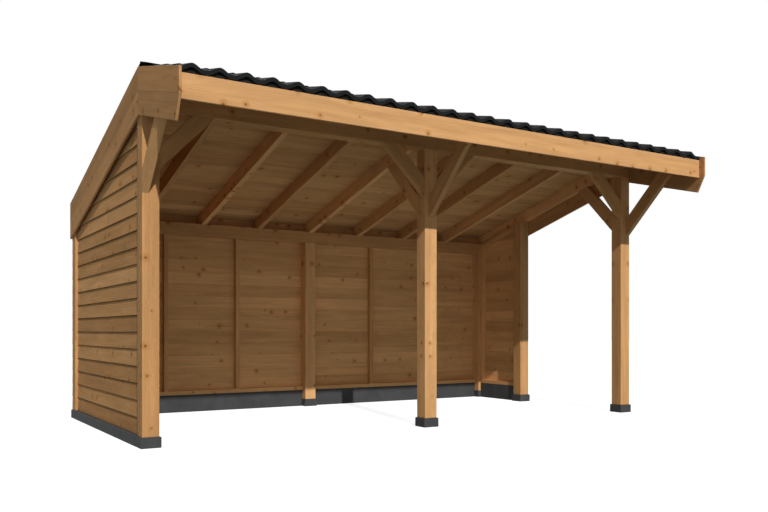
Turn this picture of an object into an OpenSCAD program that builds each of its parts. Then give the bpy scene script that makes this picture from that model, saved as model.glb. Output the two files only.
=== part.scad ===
// Open-sided garden shed: two open bays under an offset gable roof.
// Heavy softwood posts on concrete feet, lapped boards on the left side,
// the back and the rear third of the right side, tile-profile steel roof.
// Millimetres, +Z up, front looks along -Y, origin at the middle of the
// bounding box on the floor.

/* [Overall] */
// Width over the outer faces of the corner posts
width = 6000; // [4800:10:7200]
// Depth over the outer faces of the front and back posts
depth = 2950; // [2600:10:3600]
// Height of the underside of the ridge beam over the floor
beam_height = 2905; // [2750:5:3100]
// Roof slope of both sides in degrees
slope = 15; // [12:0.5:17]
// Ridge line behind the front face of the front posts
ridge_back = 50; // [30:5:75]
// Face of the front fascia in front of the posts
front_overhang = 1016; // [800:4:1200]

/* [Frame] */
// Side of the square posts
post_size = 150; // [130:5:170]
// Height of the ridge beam and of the back beam
beam_tall = 150; // [130:5:180]
// Width of the rafters and of the braces
rafter_wide = 60; // [45:5:75]
// Depth of the rafters square to the slope
rafter_deep = 150; // [130:5:180]
// Spaces between the rafters, an even number
rafter_spaces = 8; // [6:2:10]
// Depth of the braces in their own plane
brace_deep = 145; // [110:5:150]
// Foot of the braces under the ridge beam, below the beam
brace_drop = 505; // [420:5:580]
// Foot of the braces under the rafters, below the beam
long_brace_drop = 720; // [620:5:800]
// Braces under the ridge beam set back from the front faces of the posts
brace_set = 5; // [0:1:60]
// Front face of the right side post behind the front posts
side_post_back = 1847; // [1400:1:2000]

/* [Walls] */
// Depth of wall studs and rails
stud_deep = 70; // [50:5:90]
// Width of wall studs and height of the rails
stud_wide = 50; // [40:5:60]
// Cover of one lapped board
board_cover = 150; // [120:5:180]
// Thickness of a lapped board at its lower edge
board_thick = 20; // [16:1:24]
// Thickness of a lapped board at its upper edge
board_thin = 9; // [7:1:12]
// Side boards set back from the outer faces of the posts
board_inset = 25; // [15:1:35]

/* [Concrete] */
// Side of the square concrete feet
foot_size = 180; // [175:5:210]
// Height of the concrete feet and of the kerb
foot_tall = 95; // [70:5:120]
// Height of the upstand under the walls
upstand_tall = 214; // [170:2:240]

/* [Roof] */
// Thickness of the roof boards
deck_thick = 18; // [15:1:24]
// Width of the tile battens
batten_wide = 50; // [40:5:60]
// Thickness of the tile battens
batten_thick = 34; // [25:1:40]
// Spacing of the tile battens along the slope
batten_pitch = 345; // [300:5:380]
// Width of one barge board or fascia board
trim_wide = 200; // [180:5:220]
// Thickness of barge boards and fascia boards
trim_thick = 22; // [18:1:28]
// Top edge of the barge boards over the battens
barge_up = 8; // [2:1:20]
// Barge boards in front of the fascia
barge_nose = 61; // [40:1:80]
// Slant of the front end of the lower barge boards
barge_slant = 92; // [60:1:120]
// Spacing of the tile waves along the roof
wave_pitch = 220.5; // [200:0.5:240]
// First wave crest from the left edge of the sheets
wave_start = 95; // [60:1:150]
// Height of a tile wave
wave_tall = 40; // [30:1:48]
// Thickness of the roof sheets and of the ridge cap
sheet_thick = 4; // [3:0.5:6]
// Sheets past the faces of the fascias
sheet_past = 8; // [4:1:30]
// Half width of the ridge cap
cap_half = 140; // [110:5:170]
// Height of the roll along the ridge cap
cap_roll = 8; // [6:1:22]

/* [Hidden] */
// Birdsmouth depth of the rafters at the front edge of the ridge beam
seat_deep = 16;
// Birdsmouth depth of the rafters at the front edge of the back beam
heel_deep = 18;
// Space between the top of the kerb and the lowest lapped board
board_gap = 2;
// Gap between the two sheets under the ridge cap
ridge_gap = 24;
// Space between the turned-down lips of the sheets and the tops of the fascias
lip_gap = 3;
// Sample points of one tile wave
wave_points = 8;
// Flat top of the cap roll, half width
roll_flat = 12;
// Foot of the cap roll, half width
roll_foot = 30;

// Rise of the roof for one unit of run
rise = tan(slope);
// Vertical height of one unit square to the slope
plumb = 1 / cos(slope);
beam_top = beam_height + beam_tall;
// Underside of the rafters at the ridge line
under_ridge = beam_top - seat_deep + rise * ridge_back;
rafter_plumb = rafter_deep * plumb;
deck_plumb = deck_thick * plumb;
batten_plumb = batten_thick * plumb;
trim_plumb = trim_wide * plumb;
// Top of the battens at the ridge line
top_ridge = under_ridge + rafter_plumb + deck_plumb + batten_plumb;
inner_back = depth - post_size;
back_beam_top = under_ridge - rise * (inner_back - ridge_back) + heel_deep;
back_beam_low = back_beam_top - beam_tall;
middle_post = width / 2 - post_size / 2;
right_post = width - post_size;
rafter_pitch = (width - rafter_wide) / rafter_spaces;
foot_lip = (foot_size - post_size) / 2;
rafter_front = -front_overhang + trim_thick;
barge_front = -front_overhang - barge_nose;
barge_rear = depth + trim_thick + 5;
board_low = foot_tall + board_gap;
rail_top = upstand_tall + stud_wide;
side_face = board_inset + board_thick;
fascia_top = under_ridge + rafter_plumb + deck_plumb - rise * (ridge_back + front_overhang);
back_fascia_top = under_ridge + rafter_plumb + deck_plumb - rise * (depth + trim_thick - ridge_back);
back_fascia_low = back_fascia_top - trim_wide;
// Run of the two sheets along the slope from the ridge line
front_run = (ridge_back + front_overhang + sheet_past) * plumb;
back_run = (depth + trim_thick + sheet_past - ridge_back) * plumb;
sheet_tall = wave_tall + sheet_thick;
// Turned-down lip along the lower edges of the sheets
lip_tall = batten_thick - lip_gap;
// Last valley of the waves, the sheets run flat from there to the right edge
last_valley = wave_start + wave_pitch * (floor((width - wave_start) / wave_pitch) + 0.5);
crest_out = sheet_tall * sin(slope);
// Outermost faces fore and aft, for the middle of the bounding box
reach_front = min(barge_front, -front_overhang - sheet_past - crest_out);
reach_back = max(barge_rear, depth + trim_thick + sheet_past + crest_out);
middle_y = (reach_front + reach_back) / 2;
// Two studs in each bay of the back wall, at its thirds
bay = middle_post - post_size;
studs_back = [for (x = [post_size, middle_post + post_size]) for (k = [1, 2]) x + k * bay / 3];
wood = [0.80, 0.60, 0.40];
stone = [0.27, 0.27, 0.27];
steel = [0.14, 0.15, 0.15];

// Underside of the rafters, front or back of the ridge
function under(y) = under_ridge - rise * abs(y - ridge_back);
// Top of the rafters
function over(y) = under(y) + rafter_plumb;
// Top of the roof boards
function deck(y) = over(y) + deck_plumb;
// Top of the battens
function crown(y) = deck(y) + batten_plumb;
// Top edge of the barge boards
function barge_top(y) = crown(y) + barge_up;
// Height of the tile wave at a place along the roof
function wave(x) = x > last_valley ? 0
    : wave_tall * pow(0.5 + 0.5 * cos(360 * (x - wave_start) / wave_pitch), 1.3);

// Puts the middle of the bounding box at the origin
module placed() {
    translate([-width / 2, -middle_y, 0]) children();
}

// Profile drawn in the Y-Z plane, drawn out along X from x0 to x1
module side_profile(points, x0, x1) {
    translate([x0, 0, 0]) rotate([90, 0, 90]) linear_extrude(height = x1 - x0) polygon(points);
}

module block(x0, y0, z0, x1, y1, z1) {
    translate([x0, y0, z0]) cube([x1 - x0, y1 - y0, z1 - z0]);
}

module foot(x, y) {
    block(x - foot_lip, y - foot_lip, 0, x + post_size + foot_lip, y + post_size + foot_lip, foot_tall);
}

module post(x, y, top) {
    block(x, y, foot_tall, x + post_size, y + post_size, top);
}

module front_left_foot() {
    placed() color(stone) foot(0, 0);
}

module front_middle_foot() {
    placed() color(stone) foot(middle_post, 0);
}

module front_right_foot() {
    placed() color(stone) foot(right_post, 0);
}

module right_side_foot() {
    placed() color(stone) foot(right_post, side_post_back);
}

module back_feet() {
    placed() color(stone) for (x = [0, middle_post, right_post]) foot(x, inner_back);
}

// Kerb with an upstand behind the lapped boards
module left_plinth() {
    placed() color(stone) difference() {
        block(-foot_lip, post_size + foot_lip, 0,
            side_face + stud_deep, inner_back - foot_lip, upstand_tall);
        block(-foot_lip - 1, post_size, foot_tall, side_face, inner_back, upstand_tall + 1);
    }
}

module back_plinth_bay(x0, x1) {
    difference() {
        block(x0 + foot_lip, depth - stud_deep, 0, x1 - foot_lip, depth + foot_lip, upstand_tall);
        block(x0, depth, foot_tall, x1, depth + foot_lip + 1, upstand_tall + 1);
    }
}

module back_plinth() {
    placed() color(stone) {
        back_plinth_bay(post_size, middle_post);
        back_plinth_bay(middle_post + post_size, right_post);
    }
}

module right_plinth() {
    placed() color(stone) difference() {
        block(width - side_face - stud_deep, side_post_back + post_size + foot_lip, 0,
            width + foot_lip, inner_back - foot_lip, upstand_tall);
        block(width - side_face, side_post_back, foot_tall,
            width + foot_lip + 1, depth, upstand_tall + 1);
    }
}

module front_left_post() {
    placed() color(wood) post(0, 0, beam_height);
}

module front_middle_post() {
    placed() color(wood) post(middle_post, 0, beam_height);
}

module front_right_post() {
    placed() color(wood) post(right_post, 0, beam_height);
}

// Post under the right end rafter, its top cut to the slope
module right_side_post() {
    y0 = side_post_back;
    y1 = side_post_back + post_size;
    placed() color(wood) side_profile(
        [[y0, foot_tall], [y1, foot_tall], [y1, under(y1)], [y0, under(y0)]], right_post, width);
}

module back_left_post() {
    placed() color(wood) post(0, inner_back, back_beam_low);
}

module back_middle_post() {
    placed() color(wood) post(middle_post, inner_back, back_beam_low);
}

module back_right_post() {
    placed() color(wood) post(right_post, inner_back, back_beam_low);
}

module ridge_beam() {
    placed() color(wood) block(0, 0, beam_height, width, post_size, beam_top);
}

module back_beam() {
    placed() color(wood) block(0, inner_back, back_beam_low, width, depth, back_beam_top);
}

// Brace under the ridge beam, from the post face at x going in direction side
module beam_brace(x, side) {
    low = beam_height - brace_drop;
    tall = brace_deep / cos(45);
    translate([x, brace_set + rafter_wide, 0]) rotate([90, 0, 0]) linear_extrude(height = rafter_wide)
        polygon([[0, low], [side * brace_drop, beam_height],
            [side * (brace_drop - tall), beam_height], [0, low + tall]]);
}

// Run of a 45 degree line from the post face up to the rafters
function brace_run(face, low) = (under(face) - low) / (1 + rise);

// Brace under a rafter, from the back face of the post
module back_brace(x) {
    low = beam_height - long_brace_drop;
    tall = brace_deep / cos(45);
    far = brace_run(post_size, low);
    near = brace_run(post_size, low + tall);
    side_profile([[post_size, low], [post_size + far, low + far],
        [post_size + near, low + tall + near], [post_size, low + tall]], x, x + rafter_wide);
}

// Brace under a rafter, from the front face of the post
module front_brace(x) {
    low = beam_height - long_brace_drop;
    tall = brace_deep / cos(45);
    far = brace_run(0, low);
    near = brace_run(0, low + tall);
    side_profile([[0, low], [0, low + tall], [-near, low + tall + near], [-far, low + far]],
        x, x + rafter_wide);
}

module front_left_braces() {
    placed() color(wood) {
        beam_brace(post_size, 1);
        front_brace(0);
    }
}

module front_middle_braces() {
    placed() color(wood) {
        beam_brace(middle_post, -1);
        beam_brace(middle_post + post_size, 1);
        front_brace((width - rafter_wide) / 2);
        back_brace((width - rafter_wide) / 2);
    }
}

module front_right_braces() {
    placed() color(wood) {
        beam_brace(right_post, -1);
        front_brace(width - rafter_wide);
        back_brace(width - rafter_wide);
    }
}

// Long rafters, notched over the ridge beam and over the back beam
module back_rafters() {
    outline = [[ridge_back, beam_top], [post_size, beam_top], [post_size, under(post_size)],
        [inner_back, under(inner_back)], [inner_back, back_beam_top], [depth, back_beam_top],
        [depth, over(depth)], [ridge_back, over(ridge_back)]];
    placed() color(wood) for (k = [0:rafter_spaces])
        side_profile(outline, k * rafter_pitch, k * rafter_pitch + rafter_wide);
}

// Short rafters of the front overhang, notched over the ridge beam
module front_rafters() {
    outline = [[ridge_back, beam_top], [ridge_back, over(ridge_back)],
        [rafter_front, over(rafter_front)], [rafter_front, under(rafter_front)],
        [0, under(0)], [0, beam_top]];
    placed() color(wood) for (k = [0:rafter_spaces])
        side_profile(outline, k * rafter_pitch, k * rafter_pitch + rafter_wide);
}

// Bottom rail on the upstand and sloped rail under the end rafter
module side_rails(x0, y0, y1) {
    x1 = x0 + stud_deep;
    block(x0, y0, upstand_tall, x1, y1, rail_top);
    side_profile([[y0, under(y0) - stud_wide * plumb], [y1, under(y1) - stud_wide * plumb],
        [y1, under(y1)], [y0, under(y0)]], x0, x1);
}

module left_wall_rails() {
    placed() color(wood) side_rails(side_face, post_size, inner_back);
}

// Stud between the two rails of a side wall
module side_stud(x0, y0) {
    y1 = y0 + stud_wide;
    side_profile([[y0, rail_top], [y1, rail_top], [y1, under(y1) - stud_wide * plumb],
        [y0, under(y0) - stud_wide * plumb]], x0, x0 + stud_deep);
}

module left_wall_studs() {
    step = (inner_back - post_size) / 3;
    placed() color(wood) {
        for (k = [1, 2]) side_stud(side_face, post_size + k * step - stud_wide / 2);
        side_stud(side_face, inner_back - stud_wide);
    }
}

module back_wall_rails() {
    placed() color(wood) {
        block(post_size, depth - stud_deep, upstand_tall, middle_post, depth, rail_top);
        block(middle_post + post_size, depth - stud_deep, upstand_tall, right_post, depth, rail_top);
    }
}

module back_wall_studs() {
    placed() color(wood) for (x = studs_back)
        block(x - stud_wide / 2, depth - stud_deep, rail_top, x + stud_wide / 2, depth, back_beam_low);
}

module right_wall_rails() {
    placed() color(wood)
        side_rails(width - side_face - stud_deep, side_post_back + post_size, inner_back);
}

module right_wall_stud() {
    placed() color(wood) side_stud(width - side_face - stud_deep, inner_back - stud_wide);
}

// Saw-tooth section of lapped boards, back face at 0, boards growing along -X
function lap_outline(z0, z1) = let (count = ceil((z1 - z0) / board_cover)) concat(
    [[0, z0]],
    [for (k = [0:count - 1], e = [0, 1])
        e == 0 ? [-board_thick, z0 + k * board_cover]
               : [-board_thin, min(z0 + (k + 1) * board_cover, z1)]],
    [[0, z1]]);

// Lapped boards facing -X, drawn out along Y, tops cut to the roof slope
module side_boards(y0, y1) {
    top = under(y0);
    intersection() {
        translate([side_face, y1, 0]) rotate([90, 0, 0])
            linear_extrude(height = y1 - y0) polygon(lap_outline(board_low, top));
        side_profile([[y0, 0], [y1, 0], [y1, under(y1)], [y0, under(y0)]], 0, width);
    }
}

module left_cladding() {
    placed() color(wood) side_boards(post_size, inner_back);
}

module right_cladding() {
    placed() color(wood) translate([width, 0, 0]) mirror([1, 0, 0])
        side_boards(side_post_back + post_size, inner_back);
}

// Lapped boards outside the back posts
module back_cladding() {
    placed() color(wood) translate([0, depth, 0]) rotate([90, 0, 90]) linear_extrude(height = width)
        mirror([1, 0]) polygon(lap_outline(board_low, back_fascia_low));
}

module back_roof_boards() {
    y0 = ridge_back;
    y1 = depth;
    placed() color(wood) side_profile([[y0, over(y0)], [y1, over(y1)], [y1, deck(y1)], [y0, deck(y0)]],
        0, width);
}

module front_roof_boards() {
    y0 = ridge_back;
    y1 = rafter_front;
    placed() color(wood) side_profile([[y0, over(y0)], [y0, deck(y0)], [y1, deck(y1)], [y1, over(y1)]],
        0, width);
}

// One batten across the roof, upper edge at y going to y + run
module batten(y, run) {
    y1 = y + run * batten_wide * cos(slope);
    lo = min(y, y1);
    hi = max(y, y1);
    side_profile([[lo, deck(lo)], [hi, deck(hi)], [hi, crown(hi)], [lo, crown(lo)]], 0, width);
}

module back_battens() {
    step = batten_pitch * cos(slope);
    last = depth - batten_wide * cos(slope);
    placed() color(wood) for (k = [0:floor((last - ridge_back - batten_wide) / step)])
        batten(last - k * step, 1);
}

module front_battens() {
    step = batten_pitch * cos(slope);
    last = rafter_front + batten_wide * cos(slope);
    placed() color(wood) for (k = [0:floor((ridge_back - batten_wide - last) / step)])
        batten(last + k * step, -1);
}

// Barge board from the ridge to the back, drop below the top edge
module back_barge(x, drop) {
    y0 = ridge_back;
    y1 = barge_rear;
    side_profile([[y0, barge_top(y0) - drop - trim_plumb], [y1, barge_top(y1) - drop - trim_plumb],
        [y1, barge_top(y1) - drop], [y0, barge_top(y0) - drop]], x, x + trim_thick);
}

// Barge board from the ridge to the front, its lower front corner cut back
module front_barge(x, drop, slant) {
    y0 = ridge_back;
    y1 = barge_front;
    y2 = barge_front + slant;
    side_profile([[y0, barge_top(y0) - drop - trim_plumb], [y0, barge_top(y0) - drop],
        [y1, barge_top(y1) - drop], [y2, barge_top(y2) - drop - trim_plumb]], x, x + trim_thick);
}

module left_back_upper_barge() {
    placed() color(wood) back_barge(-trim_thick, 0);
}

module left_back_lower_barge() {
    placed() color(wood) back_barge(-trim_thick, trim_plumb);
}

module left_front_upper_barge() {
    placed() color(wood) front_barge(-trim_thick, 0, 0);
}

module left_front_lower_barge() {
    placed() color(wood) front_barge(-trim_thick, trim_plumb, barge_slant);
}

module right_back_upper_barge() {
    placed() color(wood) back_barge(width, 0);
}

module right_back_lower_barge() {
    placed() color(wood) back_barge(width, trim_plumb);
}

module right_front_upper_barge() {
    placed() color(wood) front_barge(width, 0, 0);
}

module right_front_lower_barge() {
    placed() color(wood) front_barge(width, trim_plumb, barge_slant);
}

module front_fascia() {
    placed() color(wood) block(0, -front_overhang, fascia_top - trim_wide, width, rafter_front, fascia_top);
}

module back_fascia() {
    placed() color(wood) block(0, depth, back_fascia_low, width, depth + trim_thick, back_fascia_top);
}

// Band that follows the tile waves, from low to high over the wave line
function wave_outline(low, high) = let (
    step = wave_pitch / wave_points,
    first = wave_start - floor(wave_start / step) * step,
    xs = concat([0], [for (k = [0:ceil(width / step)])
        if (first + k * step > 1 && first + k * step < width - 1) first + k * step], [width]))
    concat([for (x = xs) [x, wave(x) + low]],
        [for (k = [len(xs) - 1:-1:0]) [xs[k], wave(xs[k]) + high]]);

// Wavy band between two distances down a slope that falls along -Y
module wavy(near, far, low, high) {
    translate([0, -near, 0]) rotate([90, 0, 0]) linear_extrude(height = far - near)
        polygon(wave_outline(low, high));
}

// Sheet of one slope, valleys on the battens, a lip turned down at its lower edge
module lipped_sheet(run) {
    union() {
        wavy(ridge_gap, run, 0, sheet_thick);
        wavy(run - sheet_thick, run, -lip_tall, sheet_thick / 2);
    }
}

// The wave is symmetric fore and aft, so the back sheet is the mirrored form
module back_roof_sheet() {
    placed() color(steel) translate([0, ridge_back, top_ridge]) mirror([0, 1, 0])
        rotate([slope, 0, 0]) lipped_sheet(back_run);
}

module front_roof_sheet() {
    placed() color(steel) translate([0, ridge_back, top_ridge]) rotate([slope, 0, 0])
        lipped_sheet(front_run);
}

// Cap over the ridge, wings on the wave crests, roll along the middle
module ridge_cap() {
    low = top_ridge + sheet_tall * plumb;
    skin = sheet_thick * plumb;
    drop = rise * cap_half;
    foot_z = low + skin - rise * roll_foot;
    placed() color(steel) translate([0, ridge_back, 0]) side_profile([
        [-cap_half, low - drop], [0, low], [cap_half, low - drop],
        [cap_half, low - drop + skin], [roll_foot, foot_z],
        [roll_flat, low + skin + cap_roll], [-roll_flat, low + skin + cap_roll],
        [-roll_foot, foot_z], [-cap_half, low - drop + skin]],
        0, width);
}

front_left_foot();
front_middle_foot();
front_right_foot();
right_side_foot();
back_feet();
left_plinth();
back_plinth();
right_plinth();
front_left_post();
front_middle_post();
front_right_post();
right_side_post();
back_left_post();
back_middle_post();
back_right_post();
ridge_beam();
back_beam();
front_left_braces();
front_middle_braces();
front_right_braces();
back_rafters();
front_rafters();
left_wall_rails();
left_wall_studs();
back_wall_rails();
back_wall_studs();
right_wall_rails();
right_wall_stud();
left_cladding();
back_cladding();
right_cladding();
back_roof_boards();
front_roof_boards();
back_battens();
front_battens();
left_back_upper_barge();
left_back_lower_barge();
left_front_upper_barge();
left_front_lower_barge();
right_back_upper_barge();
right_back_lower_barge();
right_front_upper_barge();
right_front_lower_barge();
front_fascia();
back_fascia();
back_roof_sheet();
front_roof_sheet();
ridge_cap();
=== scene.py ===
"""Open-sided garden shed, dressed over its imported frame: softwood timbers with
eased edges, lapped wall boards, close roof boards and pressed tile sheets."""
import math
import random

import bmesh
import bpy
from bpy.props import FloatProperty, FloatVectorProperty, PointerProperty
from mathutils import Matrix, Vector


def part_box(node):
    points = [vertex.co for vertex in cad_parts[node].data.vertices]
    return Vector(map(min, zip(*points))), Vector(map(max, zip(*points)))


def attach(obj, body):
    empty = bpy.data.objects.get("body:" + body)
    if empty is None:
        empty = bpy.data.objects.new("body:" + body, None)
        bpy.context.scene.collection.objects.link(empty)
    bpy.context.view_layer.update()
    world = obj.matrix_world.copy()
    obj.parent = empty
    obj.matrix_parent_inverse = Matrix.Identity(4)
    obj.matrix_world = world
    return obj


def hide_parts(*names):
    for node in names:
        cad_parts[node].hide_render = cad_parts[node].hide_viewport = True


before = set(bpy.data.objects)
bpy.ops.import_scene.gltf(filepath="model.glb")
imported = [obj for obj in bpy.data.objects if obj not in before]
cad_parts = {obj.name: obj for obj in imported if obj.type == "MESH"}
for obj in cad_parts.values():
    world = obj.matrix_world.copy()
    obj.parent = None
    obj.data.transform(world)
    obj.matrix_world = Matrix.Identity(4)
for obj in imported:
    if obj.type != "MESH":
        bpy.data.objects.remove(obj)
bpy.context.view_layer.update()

bl_info = {
    "name": "Open-sided shed",
    "version": (1, 0, 0),
    "blender": (4, 5, 0),
    "location": "View3D > Sidebar > Shed",
    "description": "Builds the visible pieces of an open-sided garden shed over its frame",
    "category": "Object",
}

# All places are in metres from the outer front bottom corner of the front left
# post: X along the front, Y to the back, Z up.
HOME = Vector(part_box("front_left_post")[0])
HOME.z = 0.0
UP = Vector((0.0, 0.0, 1.0))
ACROSS = Vector((1.0, 0.0, 0.0))
INWARD = Vector((0.0, 1.0, 0.0))


def node_box(node):
    """Lowest and highest corner of a node, measured from the corner post."""
    low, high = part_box(node)
    return Vector(low) - HOME, Vector(high) - HOME


# Posts, beams and feet. Feet and kerbs stand out past the posts by LIP.
WIDTH = node_box("ridge_beam")[1].x
DEPTH = node_box("back_beam")[1].y
POST = node_box("front_left_post")[1].x
MIDDLE_POST = (WIDTH - POST) / 2
RIGHT_POST = WIDTH - POST
SIDE_POST = node_box("right_side_post")[0].y
INNER_BACK = DEPTH - POST
BEAM_LOW = node_box("ridge_beam")[0].z
BEAM_TOP = node_box("ridge_beam")[1].z
BACK_LOW = node_box("back_beam")[0].z
BACK_TOP = node_box("back_beam")[1].z
FOOT_TOP = node_box("front_left_foot")[1].z
LIP = 0.015
FOOT_EDGE = 0.006
KERB_EDGE = 0.005

# Roof slopes, rafters and braces. SEAT is the depth of the rafters' notches, and
# BRACE_SET keeps the braces behind the front faces of the posts.
SLOPE = math.radians(15.0)
RISE = math.tan(SLOPE)
PLUMB = 1.0 / math.cos(SLOPE)
RIDGE = 0.050
SEAT = 0.016
UNDER_RIDGE = BEAM_TOP - SEAT + RISE * RIDGE
RAFTER = 0.060
RAFTER_DEEP = 0.150
RAFTER_SPACES = 8
RAFTER_STEP = (WIDTH - RAFTER) / RAFTER_SPACES
BRACE_DEEP = 0.145
BRACE_TALL = BRACE_DEEP * math.sqrt(2.0)
BRACE_DROP = 0.505
LONG_BRACE_DROP = 0.720
BRACE_SET = 0.005

# Roof boards, battens and trim. The upper barges stand above the battens by
# BARGE_UP, and the lower front ones are cut back by BARGE_SLANT.
DECK = 0.018
DECK_EDGE = 0.003
BATTEN = 0.034
BATTEN_WIDE = 0.050
BATTEN_STEP = 0.345
TRIM = 0.022
TRIM_WIDE = 0.200
TRIM_TALL = TRIM_WIDE * PLUMB
BARGE_UP = 0.008
BARGE_FRONT = node_box("left_front_upper_barge")[0].y
BARGE_REAR = node_box("left_back_upper_barge")[1].y
BARGE_SLANT = 0.092
FASCIA_FACE = node_box("front_fascia")[0].y
RAFTER_FRONT = FASCIA_FACE + TRIM

# Walls. Side boards lie back from the outer faces of the posts by BOARD_INSET.
UPSTAND = node_box("left_plinth")[1].z
STUD = 0.050
STUD_DEEP = 0.070
RAIL_TOP = UPSTAND + STUD
RAIL_PLUMB = STUD * PLUMB
BOARD_INSET = 0.025
LAP_LOW = node_box("left_cladding")[0].z
LAP_THICK = 0.020
LAP_THIN = 0.009
LAP_SHADE_EDGE = 0.0005
SIDE_FACE = BOARD_INSET + LAP_THICK

# Tile sheets, their lips at the eaves, and the black strips behind them that paint the shade under the waves
WAVE_PITCH = 0.2205
WAVE_START = 0.095
WAVE_TALL = 0.040
WAVE_SHARP = 1.3
WAVE_STEPS = 12
LAST_VALLEY = WAVE_START + WAVE_PITCH * (math.floor((WIDTH - WAVE_START) / WAVE_PITCH) + 0.5)
SHEET_TALL = 0.044
SHEET_PAST = 0.008
LIP_GAP = 0.003
SHEET_LIP = BATTEN - LIP_GAP
SHEET_START = 0.024
SKIN = 0.0015
ROW_STEP = 0.003
ROW_SHORTEST = 0.020
STRIP_THICK = 0.004
STRIP_GAP = 0.0005

# Ridge cap in lapped lengths, and the filler under it. CAP_ROOM over the roll
# takes the lift of the middle length.
CAP_LOW, CAP_HIGH = node_box("ridge_cap")
CAP_HALF = 0.138
CAP_THICK = 0.003
CAP_GAP = 0.001
CAP_SHOULDER = 0.030
CAP_ROLL = 0.024
CAP_ROLL_TALL = 0.016
CAP_ROOM = 0.0035
CAP_PEAK = CAP_HIGH.z - CAP_ROOM
CAP_LENGTHS = 3
CAP_OVERLAP = 0.06
CAP_LIFT = 0.0025
FILLER_HALF = 0.015
FILLER_DROP = 0.012
FILLER_INSET = 0.030

# Spacing of the wave texture's rings at a scale of 1
RING_PERIOD = 0.314

# Distance of the growth rings' middle from a timber's middle
HEART = 0.06
POST_HEART = 0.05
TRIM_HEART = 0.08
BOARD_HEART = 0.09

# Run of grain that each timber takes its own stretch of
GRAIN_RUN = 40.0

# Rest of a row that is too narrow for a board
SLIVER = 0.001

# Seeds of the timbers' shades, grain and joints
FRAME_SEED = 11
WALL_SEED = 23
ROOF_SEED = 37

# Camera of the picture, with its lens and shift in pixels of a frame 768 wide
FRAME_PIXELS = 768.0
FOCAL_PIXELS = 812.42
SHIFT_PIXELS = 74.69
SENSOR_MM = 36.0
EYE = Vector((-1.8882, -6.9668, 1.0079))
HEADING = math.radians(-31.751)
FAR_CLIP = 200.0

# Suns: name, strength, spread in degrees, way that the light travels
SUNS = (("Key", 3.05, 0.6, (0.218, 1.0, -0.66)),
        ("Fill", 0.46, 60.0, (0.6, 0.85, -0.08)),
        ("Rear fill", 0.9, 12.0, (-0.35, -1.0, -0.8)))

# Softbox inside the front, turned to the back wall
BOX_WIDE = 4.6
BOX_TALL = 1.0
BOX_POWER = 6.9
BOX_PLACE = Vector((2.4, 0.4, 0.6))
BOX_AIM = (0.0, 1.0, -0.1)

# Floor and background
WHITE = (1.0, 1.0, 1.0, 1.0)
FLOOR_GLOW = 0.88
FLOOR_HALF = 60.0
SKY_LIGHT = 0.06


def under(y):
    """Underside of the rafters."""
    return UNDER_RIDGE - RISE * abs(y - RIDGE)


def over(y):
    """Top of the rafters."""
    return under(y) + RAFTER_DEEP * PLUMB


def deck_top(y):
    """Top of the roof boards."""
    return over(y) + DECK * PLUMB


def crown(y):
    """Top of the battens."""
    return deck_top(y) + BATTEN * PLUMB


def barge_top(y):
    """Top edge of the barge boards."""
    return crown(y) + BARGE_UP


def linear(code):
    """sRGB hex colour as linear red, green and blue."""
    parts = [int(code[i:i + 2], 16) / 255.0 for i in (1, 3, 5)]
    return tuple(c / 12.92 if c <= 0.04045 else ((c + 0.055) / 1.055) ** 2.4 for c in parts)


class ShedSizes(bpy.types.PropertyGroup):
    """Sizes of the visible detail"""
    edge: FloatProperty(
        name="Eased edge", description="Rounding of the timber edges",
        default=0.004, min=0.001, max=0.01, unit="LENGTH")
    board_edge: FloatProperty(
        name="Board edge", description="Rounding of the board edges",
        default=0.0025, min=0.001, max=0.006, unit="LENGTH")
    board_joint: FloatProperty(
        name="Board joint", description="Half the open joint between stacked boards",
        default=0.0003, min=0.0001, max=0.004, unit="LENGTH")
    lap_cover: FloatProperty(
        name="Lap cover", description="Cover of one lapped wall board",
        default=0.150, min=0.12, max=0.18, unit="LENGTH")
    # The lap line is a painted shade under each lapped board: its height and how dark it is
    lap_shade_line: FloatProperty(
        name="Lap line", description="Height of the dark line under each lapped board",
        default=0.009, min=0.003, max=0.02, unit="LENGTH")
    lap_shade_dark: FloatProperty(
        name="Lap darkness", description="Darkening of that line",
        default=1.4, min=0.0, max=2.5, subtype="FACTOR")
    deck_cover: FloatProperty(
        name="Roof board cover", description="Cover of one roof board",
        default=0.140, min=0.09, max=0.2, unit="LENGTH")
    tile_row: FloatProperty(
        name="Tile row", description="Length of one row of pressed tiles",
        default=0.310, min=0.25, max=0.42, unit="LENGTH")
    tile_step: FloatProperty(
        name="Tile step", description="Height of the step between tile rows",
        default=0.010, min=0.004, max=0.016, unit="LENGTH")
    # The eave strip is a painted shade behind the sheet lips.
    eave_shade_strip: FloatProperty(
        name="Eave strip", description="Height of the black strip behind the sheet lips",
        default=0.038, min=0.01, max=0.04, unit="LENGTH")


class ShedColours(bpy.types.PropertyGroup):
    """Colours of the finishes"""
    fir_pale: FloatVectorProperty(
        name="Fir, pale", description="Early wood of the timber",
        default=linear("#DDAA75"), min=0, max=1, subtype="COLOR")
    fir_warm: FloatVectorProperty(
        name="Fir, warm", description="Late wood of the timber",
        default=linear("#B67B40"), min=0, max=1, subtype="COLOR")
    fir_knot: FloatVectorProperty(
        name="Fir, knots", description="Knots of the timber",
        default=linear("#6B3D1E"), min=0, max=1, subtype="COLOR")
    concrete: FloatVectorProperty(
        name="Concrete", description="Dark cast concrete",
        default=linear("#414141"), min=0, max=1, subtype="COLOR")
    roof: FloatVectorProperty(
        name="Roof", description="Coating of the roof sheets",
        default=linear("#222323"), min=0, max=1, subtype="COLOR")


def add(tree, kind, links=None, **settings):
    """A node with its settings; links maps its inputs to values or to outputs."""
    node = tree.nodes.new(kind)
    for key, value in settings.items():
        setattr(node, key, value)
    for key, value in (links or {}).items():
        if isinstance(value, bpy.types.NodeSocket):
            tree.links.new(value, node.inputs[key])
        else:
            node.inputs[key].default_value = value
    return node


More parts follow.
